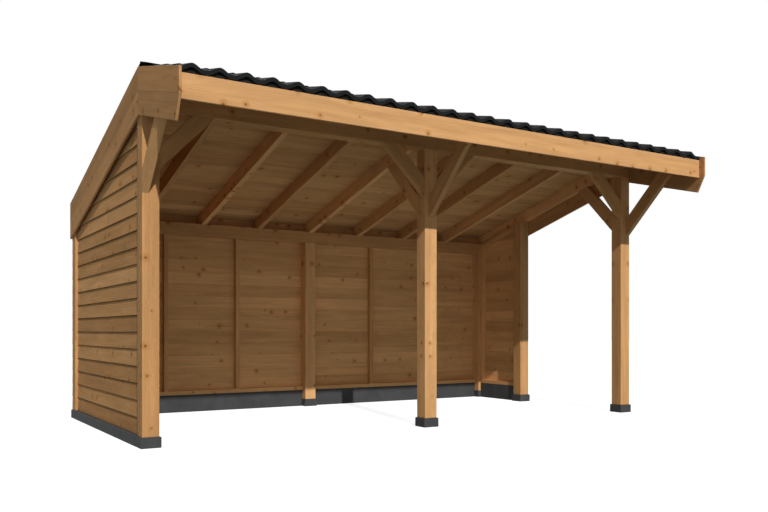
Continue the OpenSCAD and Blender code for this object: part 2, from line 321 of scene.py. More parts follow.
def new_material(name):
    """A node material with its surface shader, or one made before and None."""
    old = bpy.data.materials.get(name)
    if old:
        return old, None
    material = bpy.data.materials.new(name)
    material.use_nodes = True
    return material, material.node_tree.nodes["Principled BSDF"]


def fir_knots(tree, grain, share):
    """Knots of up to 27 mm in that share of cells of 0.2 m, set round the timber
    so that each long face shows its own: how dark the core is, and the halo."""
    part = add(tree, "ShaderNodeSeparateXYZ", {"Vector": grain})
    # The face lies at 45 degrees to the grain's second axis.
    girth = add(tree, "ShaderNodeMath", {0: part.outputs[1], 1: math.sqrt(2.0)}, operation="MULTIPLY")
    flat = add(tree, "ShaderNodeCombineXYZ", {0: part.outputs[0], 1: girth.outputs[0]})
    cells = add(tree, "ShaderNodeTexVoronoi", {"Vector": flat.outputs[0], "Scale": 1.0 / 0.2},
                voronoi_dimensions="2D")
    cast = add(tree, "ShaderNodeSeparateColor", {"Color": cells.outputs["Color"]})
    size = add(tree, "ShaderNodeMapRange", {
        "Value": cast.outputs[1], "From Min": 0.0, "From Max": share, "To Min": 0.085, "To Max": 0.0001})
    reach = add(tree, "ShaderNodeMath", {0: cells.outputs["Distance"], 1: size.outputs[0]},
                operation="DIVIDE")
    core = add(tree, "ShaderNodeMapRange", {
        "Value": reach.outputs[0], "From Min": 1.1, "From Max": 0.5, "To Min": 0.0, "To Max": 0.7},
        interpolation_type="SMOOTHSTEP")
    halo = add(tree, "ShaderNodeMapRange", {
        "Value": reach.outputs[0], "From Min": 4.0, "From Max": 0.8, "To Min": 0.0, "To Max": 0.55},
        interpolation_type="SMOOTHSTEP")
    return core.outputs[0], halo.outputs[0]


def fir_lines(tree, grain, halo, ring):
    """Share of late wood: growth rings that far apart, and soft streaks along
    the grain that swerve round each knot."""
    rings = add(tree, "ShaderNodeTexWave", {
        "Vector": grain, "Scale": RING_PERIOD / ring, "Distortion": 5.0, "Detail": 2.0,
        "Detail Scale": 0.9, "Detail Roughness": 0.6},
        wave_type="RINGS", rings_direction="X", wave_profile="SIN")
    long_way = add(tree, "ShaderNodeVectorMath", {0: grain, 1: (1.2, 24.0, 24.0)}, operation="MULTIPLY")
    swerve = add(tree, "ShaderNodeVectorMath", {0: (0.6, 1.4, 1.4), "Scale": halo}, operation="SCALE")
    bent = add(tree, "ShaderNodeVectorMath", {0: long_way.outputs[0], 1: swerve.outputs[0]},
               operation="ADD")
    streak = add(tree, "ShaderNodeTexNoise", {
        "Vector": bent.outputs[0], "Scale": 1.0, "Detail": 3.0, "Roughness": 0.55})
    line = add(tree, "ShaderNodeMapRange", {
        "Value": rings.outputs["Fac"], "From Min": 0.35, "From Max": 1.0, "To Min": 0.0, "To Max": 0.12},
        interpolation_type="SMOOTHSTEP")
    soft = add(tree, "ShaderNodeMapRange", {
        "Value": streak.outputs["Fac"], "From Min": 0.3, "From Max": 0.8, "To Min": 0.06, "To Max": 0.34})
    both = add(tree, "ShaderNodeMath", {0: line.outputs[0], 1: soft.outputs[0]}, operation="ADD")
    return both.outputs[0]


def fir_shade(tree, grain, tone, fibre):
    """Brightness: the piece's own, less or more in long patches and along the
    fibres."""
    # Patches of about 0.8 by 0.1 m.
    patch_way = add(tree, "ShaderNodeVectorMath", {0: grain, 1: (1.2, 9.0, 9.0)}, operation="MULTIPLY")
    cloud = add(tree, "ShaderNodeTexNoise", {
        "Vector": patch_way.outputs[0], "Scale": 1.0, "Detail": 3.0, "Roughness": 0.6, "Distortion": 0.4})
    own = add(tree, "ShaderNodeMapRange", {"Value": tone, "To Min": 0.82, "To Max": 1.12}, clamp=False)
    patch = add(tree, "ShaderNodeMapRange", {
        "Value": cloud.outputs["Fac"], "From Min": 0.3, "From Max": 0.7, "To Min": 0.86, "To Max": 1.12})
    hair = add(tree, "ShaderNodeMapRange", {
        "Value": fibre, "From Min": 0.3, "From Max": 0.7, "To Min": 0.96, "To Max": 1.03})
    level = add(tree, "ShaderNodeMath", {0: own.outputs[0], 1: patch.outputs[0]}, operation="MULTIPLY")
    level = add(tree, "ShaderNodeMath", {0: level.outputs[0], 1: hair.outputs[0]}, operation="MULTIPLY")
    return level.outputs[0]


def fir(name, colours, ring, rough, knotty):
    """Softwood: pale early wood with warm late wood lines that run along the
    piece, fine fibres, small round knots, and a shade of its own."""
    material, shader = new_material(name)
    if shader is None:
        return material
    pale, warm, knot = ((*c, 1.0) for c in (colours.fir_pale, colours.fir_warm, colours.fir_knot))
    tree = material.node_tree
    grain = add(tree, "ShaderNodeAttribute", attribute_name="grain").outputs["Vector"]
    tone = add(tree, "ShaderNodeAttribute", attribute_name="tone").outputs["Fac"]
    core, halo = fir_knots(tree, grain, knotty)
    lines = fir_lines(tree, grain, halo, ring)
    # Fibres of under 1 mm drawn about 4 mm across and 0.14 m long, to show.
    fine_way = add(tree, "ShaderNodeVectorMath", {0: grain, 1: (7.0, 260.0, 260.0)}, operation="MULTIPLY")
    fibre = add(tree, "ShaderNodeTexNoise", {
        "Vector": fine_way.outputs[0], "Scale": 1.0, "Detail": 2.0, "Roughness": 0.6}).outputs["Fac"]
    # Darker pieces are warmer too.
    heart = add(tree, "ShaderNodeMapRange", {"Value": tone, "To Min": 0.2, "To Max": -0.12})
    late = add(tree, "ShaderNodeMath", {0: lines, 1: heart.outputs[0]}, operation="ADD", use_clamp=True)
    body = add(tree, "ShaderNodeMix", {0: late.outputs[0], 6: pale, 7: warm}, data_type="RGBA")
    ringed = add(tree, "ShaderNodeMix", {0: halo, 6: body.outputs[2], 7: warm}, data_type="RGBA")
    knots = add(tree, "ShaderNodeMix", {0: core, 6: ringed.outputs[2], 7: knot}, data_type="RGBA")
    level = fir_shade(tree, grain, tone, fibre)
    final = add(tree, "ShaderNodeVectorMath", {0: knots.outputs[2], "Scale": level}, operation="SCALE")
    tree.links.new(final.outputs[0], shader.inputs["Base Color"])
    shader.inputs["Roughness"].default_value = rough
    shader.inputs["Specular IOR Level"].default_value = 0.06
    height = add(tree, "ShaderNodeMath", {0: fibre, 1: core}, operation="SUBTRACT")
    bump = add(tree, "ShaderNodeBump", {"Strength": 0.35, "Distance": 0.0012, "Height": height.outputs[0]})
    tree.links.new(bump.outputs[0], shader.inputs["Normal"])
    return material


def planed(scene):
    """Planed fir of posts, beams, studs and trim: smooth, with a knot in half of
    its cells. Rings of 4 mm are drawn 18 mm apart, to show."""
    return fir("Planed fir", scene.shed_colours, ring=0.018, rough=0.7, knotty=0.52)


def sawn(scene):
    """Sawn fir of wall and roof boards: matt, with a knot in a third of its
    cells. Rings of 4 mm are drawn 22 mm apart, to show."""
    return fir("Sawn fir boards", scene.shed_colours, ring=0.022, rough=0.85, knotty=0.32)


def cast_concrete(name, colour):
    """Concrete with dark pigment, cast in smooth moulds: even, matt, with cement
    clouds, sand grain and small blow holes."""
    material, shader = new_material(name)
    if shader is None:
        return material
    tree = material.node_tree
    place = add(tree, "ShaderNodeTexCoord").outputs["Object"]
    # Sand of 2 mm drawn at 9 mm, to show.
    sand = add(tree, "ShaderNodeTexNoise", {"Vector": place, "Scale": 110.0, "Detail": 3.0, "Roughness": 0.7})
    cloud = add(tree, "ShaderNodeTexNoise", {"Vector": place, "Scale": 5.0, "Detail": 4.0})
    # Blow holes of about 5 mm in cells of 25 mm.
    holes = add(tree, "ShaderNodeTexVoronoi", {"Vector": place, "Scale": 40.0})
    pit = add(tree, "ShaderNodeMapRange", {
        "Value": holes.outputs["Distance"], "From Min": 0.07, "From Max": 0.14, "To Min": 0.0, "To Max": 1.0},
        interpolation_type="SMOOTHSTEP")
    grit = add(tree, "ShaderNodeMapRange", {
        "Value": sand.outputs["Fac"], "From Min": 0.3, "From Max": 0.7, "To Min": 0.86, "To Max": 1.14})
    fog = add(tree, "ShaderNodeMapRange", {
        "Value": cloud.outputs["Fac"], "From Min": 0.3, "From Max": 0.7, "To Min": 0.85, "To Max": 1.16})
    dark = add(tree, "ShaderNodeMapRange", {"Value": pit.outputs[0], "To Min": 0.55, "To Max": 1.0})
    level = add(tree, "ShaderNodeMath", {0: grit.outputs[0], 1: fog.outputs[0]}, operation="MULTIPLY")
    level = add(tree, "ShaderNodeMath", {0: level.outputs[0], 1: dark.outputs[0]}, operation="MULTIPLY")
    final = add(tree, "ShaderNodeVectorMath", {0: colour, "Scale": level.outputs[0]}, operation="SCALE")
    tree.links.new(final.outputs[0], shader.inputs["Base Color"])
    shader.inputs["Roughness"].default_value = 0.85
    shader.inputs["Specular IOR Level"].default_value = 0.25
    height = add(tree, "ShaderNodeMath", {0: sand.outputs["Fac"], 1: pit.outputs[0]}, operation="ADD")
    bump = add(tree, "ShaderNodeBump", {"Strength": 0.3, "Distance": 0.002, "Height": height.outputs[0]})
    tree.links.new(bump.outputs[0], shader.inputs["Normal"])
    return material


def coated_steel(name, colour):
    """Pressed steel sheet with a matt black coating: fine orange-peel texture,
    a little dust in soft clouds."""
    material, shader = new_material(name)
    if shader is None:
        return material
    tree = material.node_tree
    place = add(tree, "ShaderNodeTexCoord").outputs["Object"]
    cloud = add(tree, "ShaderNodeTexNoise", {"Vector": place, "Scale": 3.0, "Detail": 4.0})
    # Coating grain of 1 mm drawn at 8 mm, to show.
    peel = add(tree, "ShaderNodeTexNoise", {"Vector": place, "Scale": 120.0, "Detail": 2.0})
    fog = add(tree, "ShaderNodeMapRange", {
        "Value": cloud.outputs["Fac"], "From Min": 0.3, "From Max": 0.7, "To Min": 0.86, "To Max": 1.2})
    final = add(tree, "ShaderNodeVectorMath", {0: colour, "Scale": fog.outputs[0]}, operation="SCALE")
    tree.links.new(final.outputs[0], shader.inputs["Base Color"])
    rough = add(tree, "ShaderNodeMapRange", {
        "Value": cloud.outputs["Fac"], "From Min": 0.3, "From Max": 0.7, "To Min": 0.92, "To Max": 1.0})
    tree.links.new(rough.outputs[0], shader.inputs["Roughness"])
    shader.inputs["Specular IOR Level"].default_value = 0.1
    bump = add(tree, "ShaderNodeBump", {"Strength": 0.12, "Distance": 0.001, "Height": peel.outputs["Fac"]})
    tree.links.new(bump.outputs[0], shader.inputs["Normal"])
    return material


def timber_mesh():
    """A bmesh with the two layers that the wood reads."""
    bm = bmesh.new()
    bm.verts.layers.float_vector.new("grain")
    bm.verts.layers.float.new("tone")
    return bm


def lay_grain(bm, verts, along, rng, heart, shade, painted_shade):
    """Gives one piece of timber its own run of grain and its own shade, from 0 for dark to 1 for light, less
    a painted shade at places where one is given."""
    grain = bm.verts.layers.float_vector["grain"]
    tone = bm.verts.layers.float["tone"]
    along = along.normalized()
    flat = along.orthogonal().normalized()
    deep = along.cross(flat)
    middle = sum((v.co for v in verts), Vector()) / len(verts)
    turn = rng.uniform(0.0, math.tau)
    shift = Vector((rng.uniform(0.0, GRAIN_RUN), heart * math.cos(turn), heart * math.sin(turn)))
    chance = rng.random()
    for v in verts:
        p = v.co - middle
        v[grain] = Vector((p.dot(along), p.dot(flat), p.dot(deep))) + shift
        v[tone] = (chance if shade is None else shade) - (painted_shade(v.co) if painted_shade else 0.0)


def prism(bm, outline, sweep):
    """A straight solid: an end outline and its sweep."""
    end = bm.faces.new([bm.verts.new(p) for p in outline])
    grown = bmesh.ops.extrude_face_region(bm, geom=[end])["geom"]
    bmesh.ops.translate(bm, verts=[g for g in grown if isinstance(g, bmesh.types.BMVert)], vec=sweep)


def ease(bm, edges, offset, clamp=False):
    """Rounds edges off, by less on short ones where clamp says so."""
    bmesh.ops.bevel(bm, geom=edges, offset=offset, offset_type="OFFSET", segments=2, profile=0.5,
                    affect="EDGES", material=-1, clamp_overlap=clamp)


def edges_of(verts):
    """All edges at some vertices, each once and always in the same order."""
    return list(dict.fromkeys(e for v in verts for e in v.link_edges))


def faces_of(verts):
    """All faces at some vertices, each once and always in the same order."""
    return list(dict.fromkeys(f for v in verts for f in v.link_faces))


def cut_off(bm, verts, place, out):
    """Cuts away what lies beyond a plane, and closes the cut."""
    geom = verts + edges_of(verts) + faces_of(verts)
    result = bmesh.ops.bisect_plane(bm, geom=geom, plane_co=place, plane_no=out, clear_outer=True)
    rim = [g for g in result["geom_cut"] if isinstance(g, bmesh.types.BMEdge)]
    if rim:
        bmesh.ops.contextual_create(bm, geom=rim)


def timber(bm, outline, sweep, along, rng, edge, heart=HEART, cut=None, shade=None, painted_shade=None):
    """One piece of timber: an end outline swept straight, cut to the roof slope
    where a plane is given, with eased edges."""
    old = set(bm.verts)
    prism(bm, outline, sweep)
    if cut:
        cut_off(bm, [v for v in bm.verts if v not in old], *cut)
    fresh = [v for v in bm.verts if v not in old]
    bmesh.ops.recalc_face_normals(bm, faces=faces_of(fresh))
    ease(bm, edges_of(fresh), edge, clamp=True)
    lay_grain(bm, [v for v in bm.verts if v not in old], along, rng, heart, shade, painted_shade)


def side_outline(points, x):
    """An outline in the Y-Z plane at x."""
    return [Vector((x, y, z)) for y, z in points]


def block(bm, low, high, along, rng, edge, heart=HEART, shade=None):
    """A square timber between two corners."""
    x0, y0, z0 = low
    x1, y1, z1 = high
    timber(bm, side_outline([(y0, z0), (y1, z0), (y1, z1), (y0, z1)], x0), (x1 - x0) * ACROSS,
           along, rng, edge, heart, shade=shade)


def place_piece(bm, node, material):
    """Makes a node's piece, sets it on the frame and lets it stand for the node."""
    bmesh.ops.translate(bm, verts=bm.verts, vec=HOME)
    name = node.capitalize()
    mesh = bpy.data.meshes.new(name)
    bm.to_mesh(mesh)
    bm.free()
    mesh.materials.append(material)
    piece = bpy.data.objects.new(name, mesh)
    bpy.context.scene.collection.objects.link(piece)
    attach(piece, "root")
    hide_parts(node)


def foot(bm, x, y):
    """A square foot under the post that has its near left corner at x and y."""
    fresh = bmesh.ops.create_cube(bm, size=1.0)["verts"]
    wide = POST + 2 * LIP
    bmesh.ops.scale(bm, verts=fresh, vec=(wide, wide, FOOT_TOP))
    bmesh.ops.translate(bm, verts=fresh, vec=(x + POST / 2, y + POST / 2, FOOT_TOP / 2))
    ease(bm, edges_of(fresh), FOOT_EDGE)


def kerb_runs():
    """End outline and sweep of each kerb, which is low outside and has an
    upstand under the wall inside."""
    inner = SIDE_FACE + STUD_DEEP
    side = [(-LIP, 0.0), (inner, 0.0), (inner, UPSTAND), (SIDE_FACE, UPSTAND), (SIDE_FACE, FOOT_TOP),
            (-LIP, FOOT_TOP)]
    back = [(DEPTH - STUD_DEEP, 0.0), (DEPTH + LIP, 0.0), (DEPTH + LIP, FOOT_TOP), (DEPTH, FOOT_TOP),
            (DEPTH, UPSTAND), (DEPTH - STUD_DEEP, UPSTAND)]
    left_start = POST + LIP
    right_start = SIDE_POST + POST + LIP
    end = INNER_BACK - LIP
    return {"left_plinth": [([Vector((x, left_start, z)) for x, z in side], (end - left_start) * INWARD)],
            "right_plinth": [([Vector((WIDTH - x, right_start, z)) for x, z in side],
                              (end - right_start) * INWARD)],
            "back_plinth": [(side_outline(back, x0 + LIP), (x1 - x0 - 2 * LIP) * ACROSS)
                            for x0, x1 in ((POST, MIDDLE_POST), (MIDDLE_POST + POST, RIGHT_POST))]}


class SHED_OT_concrete(bpy.types.Operator):
    """Casts the feet and the kerbs with their upstands"""
    bl_idname = "shed.concrete"
    bl_label = "Feet and kerbs"

    def execute(self, context):
        dark = cast_concrete("Dark cast concrete", tuple(context.scene.shed_colours.concrete))
        spots = {"front_left_foot": [(0.0, 0.0)], "front_middle_foot": [(MIDDLE_POST, 0.0)],
                 "front_right_foot": [(RIGHT_POST, 0.0)], "right_side_foot": [(RIGHT_POST, SIDE_POST)],
                 "back_feet": [(x, INNER_BACK) for x in (0.0, MIDDLE_POST, RIGHT_POST)]}
        for node, corners in spots.items():
            bm = bmesh.new()
            for x, y in corners:
                foot(bm, x, y)
            place_piece(bm, node, dark)
        for node, kerbs in kerb_runs().items():
            bm = bmesh.new()
            for outline, sweep in kerbs:
                prism(bm, outline, sweep)
            bmesh.ops.recalc_face_normals(bm, faces=bm.faces)
            ease(bm, bm.edges[:], KERB_EDGE)
            place_piece(bm, node, dark)
        return {"FINISHED"}


def beam_brace(bm, x, side, shade, rng, edge):
    """A brace from the post face at x up to the ridge beam, to one side."""
    low = BEAM_LOW - BRACE_DROP
    points = [(0.0, low), (side * BRACE_DROP, BEAM_LOW), (side * (BRACE_DROP - BRACE_TALL), BEAM_LOW),
              (0.0, low + BRACE_TALL)]
    timber(bm, [Vector((x + a, BRACE_SET, z)) for a, z in points], RAFTER * INWARD,
           Vector((side, 0.0, 1.0)), rng, edge, shade=shade)


def roof_brace(bm, x, face, way, rng, edge):
    """A brace at x from the post face up to a rafter, to the front or back."""
    low = BEAM_LOW - LONG_BRACE_DROP
    far = (under(face) - low) / (1.0 + RISE)
    near = (under(face) - low - BRACE_TALL) / (1.0 + RISE)
    points = [(face, low), (face + way * far, low + far), (face + way * near, low + BRACE_TALL + near),
              (face, low + BRACE_TALL)]
    timber(bm, side_outline(points, x), RAFTER * ACROSS, Vector((0.0, way, 1.0)), rng, edge)


class SHED_OT_frame(bpy.types.Operator):
    """Cuts posts, beams, braces and rafters and sets them up"""
    bl_idname = "shed.frame"
    bl_label = "Timber frame"

    def execute(self, context):
        wood = planed(context.scene)
        edge = context.scene.shed_sizes.edge
        rng = random.Random(FRAME_SEED)
        shades = {"front_left_post": 0.08, "front_middle_post": 0.6, "front_right_post": 0.4,
                  "back_left_post": 0.1, "back_middle_post": 0.7, "back_right_post": 0.5}
        for node, shade in shades.items():
            bm = timber_mesh()
            block(bm, *node_box(node), UP, rng, edge, POST_HEART, shade)
            place_piece(bm, node, wood)
        bm = timber_mesh()
        y0 = SIDE_POST
        y1 = SIDE_POST + POST
        outline = [(y0, FOOT_TOP), (y1, FOOT_TOP), (y1, under(y1)), (y0, under(y0))]
        timber(bm, side_outline(outline, RIGHT_POST), POST * ACROSS, UP, rng, edge, POST_HEART, shade=0.15)
        place_piece(bm, "right_side_post", wood)
        for node in ("ridge_beam", "back_beam"):
            bm = timber_mesh()
            block(bm, *node_box(node), ACROSS, rng, edge, POST_HEART)
            place_piece(bm, node, wood)
        self.set_braces(wood, edge, rng)
        self.set_rafters(wood, edge, rng)
        return {"FINISHED"}

    def set_braces(self, wood, edge, rng):
        """Each front post's braces to the beam, and then those to the rafters."""
        middle = (WIDTH - RAFTER) / 2
        right = WIDTH - RAFTER
        # The last number of each brace to the beam is its tone, set low: painted shade, for the eave's shadow
        # on it.
        braces = {"front_left_braces": ([(POST, 1, 0.0)], [(0.0, 0.0, -1)]),
                  "front_middle_braces": ([(MIDDLE_POST, -1, 0.2), (MIDDLE_POST + POST, 1, 0.1)],
                                          [(middle, 0.0, -1), (middle, POST, 1)]),
                  "front_right_braces": ([(RIGHT_POST, -1, 0.2)], [(right, 0.0, -1), (right, POST, 1)])}
        for node, (to_beam, to_roof) in braces.items():
            bm = timber_mesh()
            for x, side, shade in to_beam:
                beam_brace(bm, x, side, shade, rng, edge)
            for x, face, way in to_roof:
                roof_brace(bm, x, face, way, rng, edge)
            place_piece(bm, node, wood)

    def set_rafters(self, wood, edge, rng):
        """Long rafters to the back and short ones to the front, notched over the
        beams."""
        back = [(RIDGE, BEAM_TOP), (POST, BEAM_TOP), (POST, under(POST)), (INNER_BACK, under(INNER_BACK)),
                (INNER_BACK, BACK_TOP), (DEPTH, BACK_TOP), (DEPTH, over(DEPTH)), (RIDGE, over(RIDGE))]
        front = [(RIDGE, BEAM_TOP), (RIDGE, over(RIDGE)), (RAFTER_FRONT, over(RAFTER_FRONT)),
                 (RAFTER_FRONT, under(RAFTER_FRONT)), (0.0, under(0.0)), (0.0, BEAM_TOP)]
        for node, outline, way in (("back_rafters", back, -1.0), ("front_rafters", front, 1.0)):
            bm = timber_mesh()
            for k in range(RAFTER_SPACES + 1):
                timber(bm, side_outline(outline, k * RAFTER_STEP), RAFTER * ACROSS,
                       Vector((0.0, 1.0, way * RISE)), rng, edge)
            place_piece(bm, node, wood)


def side_rails(bm, x, y0, rng, edge):
    """Bottom rail, and top rail under the rafters, of a side wall from y0 on."""
    y1 = INNER_BACK
    block(bm, (x, y0, UPSTAND), (x + STUD_DEEP, y1, RAIL_TOP), INWARD, rng, edge)
    outline = [(y0, under(y0) - RAIL_PLUMB), (y1, under(y1) - RAIL_PLUMB), (y1, under(y1)), (y0, under(y0))]
    timber(bm, side_outline(outline, x), STUD_DEEP * ACROSS, Vector((0.0, 1.0, -RISE)), rng, edge)


def side_stud(bm, x, y0, rng, edge):
    """A stud between the rails of a side wall."""
    y1 = y0 + STUD
    outline = [(y0, RAIL_TOP), (y1, RAIL_TOP), (y1, under(y1) - RAIL_PLUMB), (y0, under(y0) - RAIL_PLUMB)]
    timber(bm, side_outline(outline, x), STUD_DEEP * ACROSS, UP, rng, edge)


def lap_outline(z, top, sizes):
    """End outline of a lapped board, as places off its back face and heights."""
    slim = (LAP_THICK - LAP_THIN) / sizes.lap_cover
    # An extra edge where the painted shade under the board above begins
    line = max(top - sizes.lap_shade_line, (z + top) / 2)
    return [(0.0, z), (LAP_THICK, z), (LAP_THICK - slim * (line - z), line),
            (LAP_THICK - slim * (top - z), top), (0.0, top)]


def lap_shadow(z, top, back, out, sizes):
    """Painted shade of a lapped board: darkens its lower edge, and its face just under the board above, where
    that board casts its shadow."""
    def painted_shade(place):
        under_next = place.z > top - sizes.lap_shade_line and (place - back).dot(out) > LAP_THIN / 2
        return sizes.lap_shade_dark if under_next or place.z < z + LAP_SHADE_EDGE else 0.0
    return painted_shade


def side_boards(bm, y0, side, bright, rng, sizes):
    """Lapped boards of a side wall from y0 on, cut to the rafters' slope."""
    roof_plane = (Vector((0.0, RIDGE, UNDER_RIDGE)), Vector((0.0, RISE, 1.0)).normalized())
    face = SIDE_FACE if side > 0 else WIDTH - SIDE_FACE
    z = LAP_LOW
    while z < under(y0):
        top = z + sizes.lap_cover
        lap = [Vector((face - side * a, y0, h)) for a, h in lap_outline(z, top, sizes)]
        # Each board takes a painted shade under the board above and along its lower edge.
        timber(bm, lap, (INNER_BACK - y0) * INWARD, INWARD, rng, sizes.board_edge, BOARD_HEART, roof_plane,
               bright + rng.uniform(-0.3, 0.7), lap_shadow(z, top, lap[0], -side * ACROSS, sizes))
        z += sizes.lap_cover


def back_boards(bm, joints, rng, sizes):
    """Lapped boards of the back wall, each row in two lengths that meet at one
    joint or the other by turns."""
    top_edge = node_box("back_cladding")[1].z
    z = LAP_LOW
    row = 0
    while z < top_edge - SLIVER:
        top = min(z + sizes.lap_cover, top_edge)
        lap = [(DEPTH + a, h) for a, h in lap_outline(z, top, sizes)]
        # Painted shade under the board above and along the lower edge
        dark = lap_shadow(z, top, Vector((0.0, DEPTH, z)), INWARD, sizes)
        joint = joints[row % 2]
        for x0, x1 in ((0.0, joint), (joint, WIDTH)):
            timber(bm, side_outline(lap, x0), (x1 - x0) * ACROSS, ACROSS, rng, sizes.board_edge, BOARD_HEART,
                   shade=rng.uniform(0.4, 1.0), painted_shade=dark)
        z += sizes.lap_cover
        row += 1


class SHED_OT_walls(bpy.types.Operator):
    """Sets rails and studs and hangs the lapped boards on them"""
    bl_idname = "shed.walls"
    bl_label = "Walls"

    def execute(self, context):
        sizes = context.scene.shed_sizes
        wood = planed(context.scene)
        rough = sawn(context.scene)
        rng = random.Random(WALL_SEED)
        edge = sizes.board_edge
        left = SIDE_FACE
        right = WIDTH - SIDE_FACE - STUD_DEEP
        right_start = SIDE_POST + POST
        for node, x, y0 in (("left_wall_rails", left, POST), ("right_wall_rails", right, right_start)):
            bm = timber_mesh()
            side_rails(bm, x, y0, rng, edge)
            place_piece(bm, node, wood)
        third = (INNER_BACK - POST) / 3
        last = INNER_BACK - STUD
        rows = {"left_wall_studs": (left, (POST + third - STUD / 2, POST + 2 * third - STUD / 2, last)),
                "right_wall_stud": (right, (last,))}
        for node, (x, fronts) in rows.items():
            bm = timber_mesh()
            for y0 in fronts:
                side_stud(bm, x, y0, rng, edge)
            place_piece(bm, node, wood)
        bays = ((POST, MIDDLE_POST), (MIDDLE_POST + POST, RIGHT_POST))
        bm = timber_mesh()
        for x0, x1 in bays:
            block(bm, (x0, DEPTH - STUD_DEEP, UPSTAND), (x1, DEPTH, RAIL_TOP), ACROSS, rng, edge)
        place_piece(bm, "back_wall_rails", wood)
        bm = timber_mesh()
        bay = MIDDLE_POST - POST
        studs = [x0 + k * bay / 3 for x0, _ in bays for k in (1, 2)]
        for x in studs:
            block(bm, (x - STUD / 2, DEPTH - STUD_DEEP, RAIL_TOP), (x + STUD / 2, DEPTH, BACK_LOW), UP,
                  rng, edge)
        place_piece(bm, "back_wall_studs", wood)
        # The left wall's boards take low tones, a painted shade on its outer face, and the right wall's high
        # ones, painted light on its inner face under the roof.
        for node, y0, side, bright in (("left_cladding", POST, 1, 0.0),
                                       ("right_cladding", right_start, -1, 0.45)):
            bm = timber_mesh()
            side_boards(bm, y0, side, bright, rng, sizes)
            place_piece(bm, node, rough)
        bm = timber_mesh()
        back_boards(bm, (studs[2], WIDTH / 2), rng, sizes)
        place_piece(bm, "back_cladding", rough)
        return {"FINISHED"}


def roof_boards(bm, end, way, rng, sizes):
    """Roof boards of one slope from the ridge down, each row in two lengths that
    meet over a rafter."""
    cover = sizes.deck_cover * math.cos(SLOPE)
    y = RIDGE
    while way * (end - y) > SLIVER:
        far = y + way * min(cover, way * (end - y))
        outline = [(y, over(y)), (far, over(far)), (far, deck_top(far)), (y, deck_top(y))]
        joint = RAFTER / 2 + RAFTER_STEP * rng.choice((2, 3, 4, 5, 6))
        for x0, x1 in ((0.0, joint), (joint, WIDTH)):
            # Tones differ at random but run low: painted shade on the underside of the roof.
            timber(bm, side_outline(outline, x0), (x1 - x0) * ACROSS, ACROSS, rng, DECK_EDGE, TRIM_HEART,
                   shade=rng.uniform(0.0, 0.6))
        y = far


def battens(bm, end, way, rng, edge):
    """Battens of one slope from the eave up."""
    wide = BATTEN_WIDE * math.cos(SLOPE)
    y = end
    while way * (y - RIDGE) > 2 * BATTEN_WIDE:
        high = y - way * wide
        outline = [(high, deck_top(high)), (y, deck_top(y)), (y, crown(y)), (high, crown(high))]
        timber(bm, side_outline(outline, 0.0), WIDTH * ACROSS, ACROSS, rng, edge)
        y -= way * BATTEN_STEP * math.cos(SLOPE)


def barge_outlines(rank, joint):
    """Outlines of the upper or lower barge boards on the back and the front
    slope. The lower front one is cut to a slant."""
    lower = rank == "lower"
    high = TRIM_TALL + joint if lower else 0.0
    low = 2 * TRIM_TALL if lower else TRIM_TALL - joint
    y1 = BARGE_REAR
    back = [(RIDGE, barge_top(RIDGE) - low), (y1, barge_top(y1) - low), (y1, barge_top(y1) - high),
            (RIDGE, barge_top(RIDGE) - high)]
    y1 = BARGE_FRONT
    y2 = y1 + (BARGE_SLANT if lower else 0.0)
    front = [(RIDGE, barge_top(RIDGE) - low), (RIDGE, barge_top(RIDGE) - high), (y1, barge_top(y1) - high),
             (y2, barge_top(y2) - low)]
    return (("back", back, -RISE), ("front", front, RISE))


class SHED_OT_roof_timber(bpy.types.Operator):
    """Lays roof boards and battens, hangs barge boards and fascias"""
    bl_idname = "shed.roof_timber"
    bl_label = "Roof boards and trim"

    def execute(self, context):
        sizes = context.scene.shed_sizes
        wood = planed(context.scene)
        rough = sawn(context.scene)
        rng = random.Random(ROOF_SEED)
        edge = sizes.board_edge
        slopes = (("back", DEPTH, 1.0), ("front", RAFTER_FRONT, -1.0))
        for slope, end, way in slopes:
            bm = timber_mesh()
            roof_boards(bm, end, way, rng, sizes)
            place_piece(bm, slope + "_roof_boards", rough)
        for slope, end, way in slopes:
            bm = timber_mesh()
            battens(bm, end, way, rng, edge)
            place_piece(bm, slope + "_battens", wood)
        # The barges take low tones, and the right ones lower still by sunk: painted shade on their side
        # faces.
        shades = {"back_upper": -0.3, "back_lower": 0.1, "front_upper": 0.05, "front_lower": -0.25}
        for hand, x, sunk in (("left", -TRIM, 0.0), ("right", WIDTH, 0.2)):
            for rank in ("upper", "lower"):
                for slope, outline, tilt in barge_outlines(rank, sizes.board_joint):
                    board = slope + "_" + rank
                    bm = timber_mesh()
                    timber(bm, side_outline(outline, x), TRIM * ACROSS, Vector((0.0, 1.0, tilt)), rng, edge,
                           TRIM_HEART, shade=shades[board] - sunk)
                    place_piece(bm, hand + "_" + board + "_barge", wood)
        for node in ("front_fascia", "back_fascia"):
            bm = timber_mesh()
            block(bm, *node_box(node), ACROSS, rng, 2 * edge, TRIM_HEART, 0.55)
            place_piece(bm, node, wood)
        return {"FINISHED"}


def tile_wave(x):
    """Height of the pressed tile profile at a place along the roof."""
    if x > LAST_VALLEY:
        return 0.0
    swing = 0.5 + 0.5 * math.cos(math.tau * (x - WAVE_START) / WAVE_PITCH)
    return WAVE_TALL * swing ** WAVE_SHARP


def tile_stops(run, row):
    """Places down a slope where the rows of tiles start, bend and end, each with
    its share of the row, and then the edge of the lip, marked by minus one."""
    stops = [(run - 2 * SKIN, -1.0)]
    low_end = run - 2 * SKIN
    while low_end > SHEET_START + ROW_SHORTEST:
        top_end = max(low_end - row, SHEET_START)
        stops[:0] = [(top_end + ROW_STEP, 0.0), ((top_end + low_end) / 2, 0.5), (low_end, 1.0)]
        low_end = top_end
    return stops


